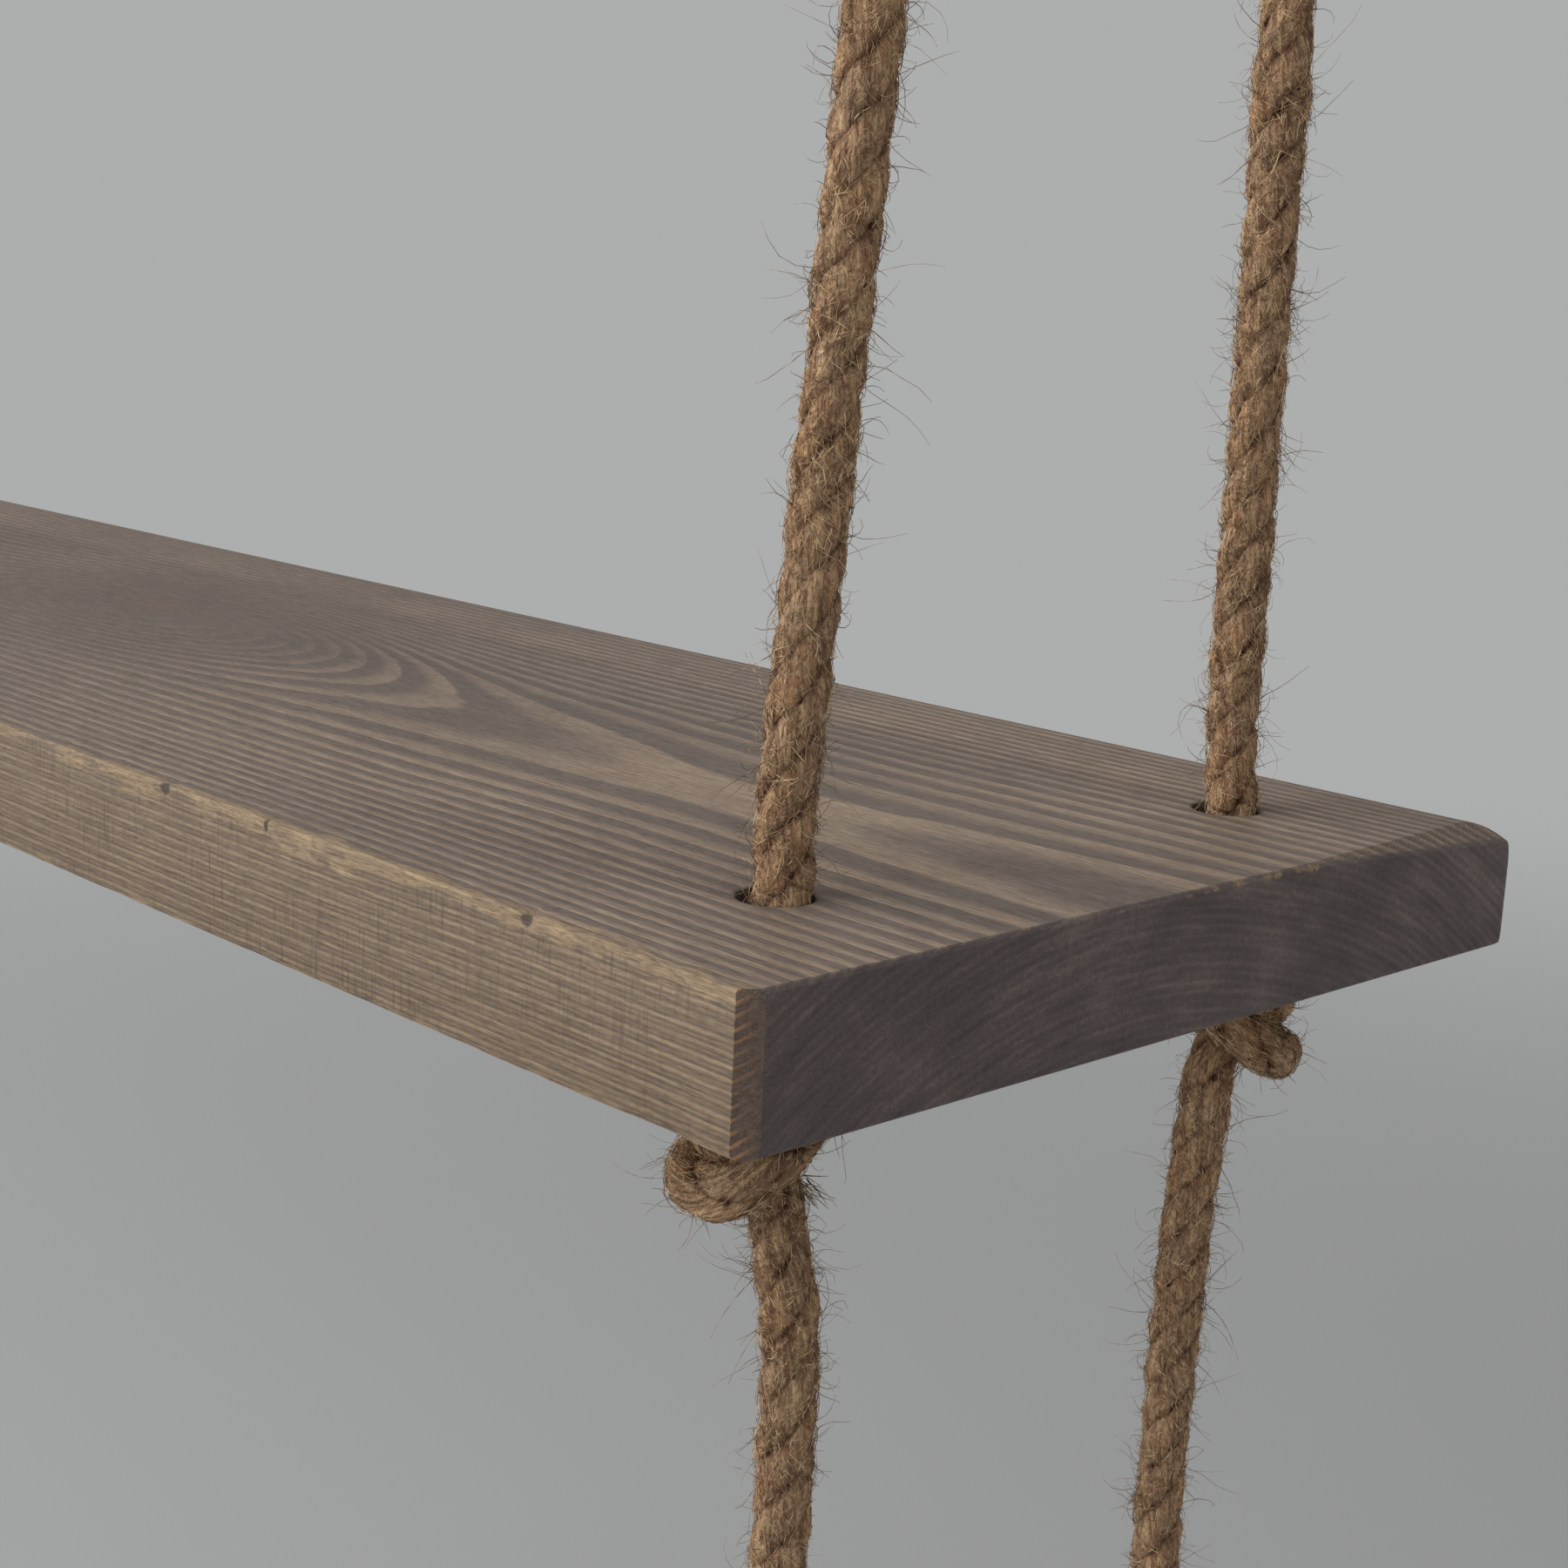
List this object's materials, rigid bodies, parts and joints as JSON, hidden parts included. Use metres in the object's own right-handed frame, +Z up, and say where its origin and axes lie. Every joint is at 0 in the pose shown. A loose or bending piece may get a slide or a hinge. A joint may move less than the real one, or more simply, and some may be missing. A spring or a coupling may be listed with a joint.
{
  "type": "hanging rope shelf",
  "caption": "Stained pine board hung by a rope at each corner: eye splice on a ceiling hook above, knot under the board, free tail with an end knot.",
  "frame": {"origin": "on the ceiling plane, midway between the hooks", "axes": "+X along the board to its right end, +Y to the wall behind it, +Z up"},
  "size_m": [0.6, 0.159, 0.4049],
  "materials": {
    "stained_pine": "grey-brown stain with tan latewood lines, edges worn to bare wood",
    "jute_rope": "hairy three-strand twisted jute, dry",
    "zinc_plate": "dull bright zinc"
  },
  "bodies": {
    "hooks": {"ceiling_hook_front_right": "zinc_plate", "ceiling_hook_back_right": "zinc_plate", "ceiling_hook_front_left": "zinc_plate", "ceiling_hook_back_left": "zinc_plate"},
    "eye_front_right": {"rope_eye_front_right": "jute_rope"},
    "span_front_right": {"rope_span_front_right": "jute_rope"},
    "bend_front_right": {"rope_bend_front_right": "jute_rope"},
    "shelf": {"shelf_board": "stained_pine", "rope_bend_back_right": "jute_rope", "rope_bend_front_left": "jute_rope", "rope_bend_back_left": "jute_rope", "rope_in_hole_front_right": "jute_rope", "board_knot_front_right": "jute_rope", "rope_tail_front_right": "jute_rope", "end_knot_front_right": "jute_rope", "rope_in_hole_back_right": "jute_rope", "board_knot_back_right": "jute_rope", "rope_tail_back_right": "jute_rope", "end_knot_back_right": "jute_rope", "rope_in_hole_front_left": "jute_rope", "board_knot_front_left": "jute_rope", "rope_tail_front_left": "jute_rope", "end_knot_front_left": "jute_rope", "rope_in_hole_back_left": "jute_rope", "board_knot_back_left": "jute_rope", "rope_tail_back_left": "jute_rope", "end_knot_back_left": "jute_rope"},
    "eye_back_right": {"rope_eye_back_right": "jute_rope"},
    "span_back_right": {"rope_span_back_right": "jute_rope"},
    "eye_front_left": {"rope_eye_front_left": "jute_rope"},
    "span_front_left": {"rope_span_front_left": "jute_rope"},
    "eye_back_left": {"rope_eye_back_left": "jute_rope"},
    "span_back_left": {"rope_span_back_left": "jute_rope"}
  },
  "joints": [
    {"name": "swing_front_right", "type": "hinge", "parent": "hooks", "child": "eye_front_right", "pos_m": [0.271, -0.0375, -0.03], "axis": [-1, 0, 0], "range_deg": [0, 8]},
    {"name": "sway_front_right", "type": "hinge", "parent": "eye_front_right", "child": "span_front_right", "pos_m": [0.271, -0.04229, -0.084], "axis": [0, 1, 0], "range_deg": [-8, 8]},
    {"name": "board_level_front_right", "type": "hinge", "parent": "span_front_right", "child": "bend_front_right", "pos_m": [0.271, -0.05385, -0.2145], "axis": [0, 1, 0], "range_deg": [-8, 8]},
    {"name": "board_tilt_front_right", "type": "hinge", "parent": "bend_front_right", "child": "shelf", "pos_m": [0.271, -0.05385, -0.2145], "axis": [-1, 0, 0], "range_deg": [-6.42, 0]},
    {"name": "swing_back_right", "type": "hinge", "parent": "hooks", "child": "eye_back_right", "pos_m": [0.271, 0.0375, -0.03], "axis": [-1, 0, 0], "range_deg": [0, 8]},
    {"name": "sway_back_right", "type": "hinge", "parent": "eye_back_right", "child": "span_back_right", "pos_m": [0.271, 0.03813, -0.084], "axis": [0, 1, 0], "range_deg": [-8, 8]},
    {"name": "swing_front_left", "type": "hinge", "parent": "hooks", "child": "eye_front_left", "pos_m": [-0.271, -0.0375, -0.03], "axis": [-1, 0, 0], "range_deg": [0, 8]},
    {"name": "sway_front_left", "type": "hinge", "parent": "eye_front_left", "child": "span_front_left", "pos_m": [-0.271, -0.04229, -0.084], "axis": [0, 1, 0], "range_deg": [-8, 8]},
    {"name": "swing_back_left", "type": "hinge", "parent": "hooks", "child": "eye_back_left", "pos_m": [-0.271, 0.0375, -0.03], "axis": [-1, 0, 0], "range_deg": [0, 8]},
    {"name": "sway_back_left", "type": "hinge", "parent": "eye_back_left", "child": "span_back_left", "pos_m": [-0.271, 0.03813, -0.084], "axis": [0, 1, 0], "range_deg": [-8, 8]}
  ],
  "couplings": [
    {"joint": "board_level_front_right", "follows": "sway_front_right", "ratio": -1},
    {"joint": "board_tilt_front_right", "follows": "swing_front_right", "ratio": -0.80162},
    {"joint": "swing_back_right", "follows": "swing_front_right", "ratio": 0.99529},
    {"joint": "sway_back_right", "follows": "sway_front_right", "ratio": 1},
    {"joint": "swing_front_left", "follows": "swing_front_right", "ratio": 1},
    {"joint": "sway_front_left", "follows": "sway_front_right", "ratio": 1},
    {"joint": "swing_back_left", "follows": "swing_front_right", "ratio": 0.99529},
    {"joint": "sway_back_left", "follows": "sway_front_right", "ratio": 1}
  ]
}
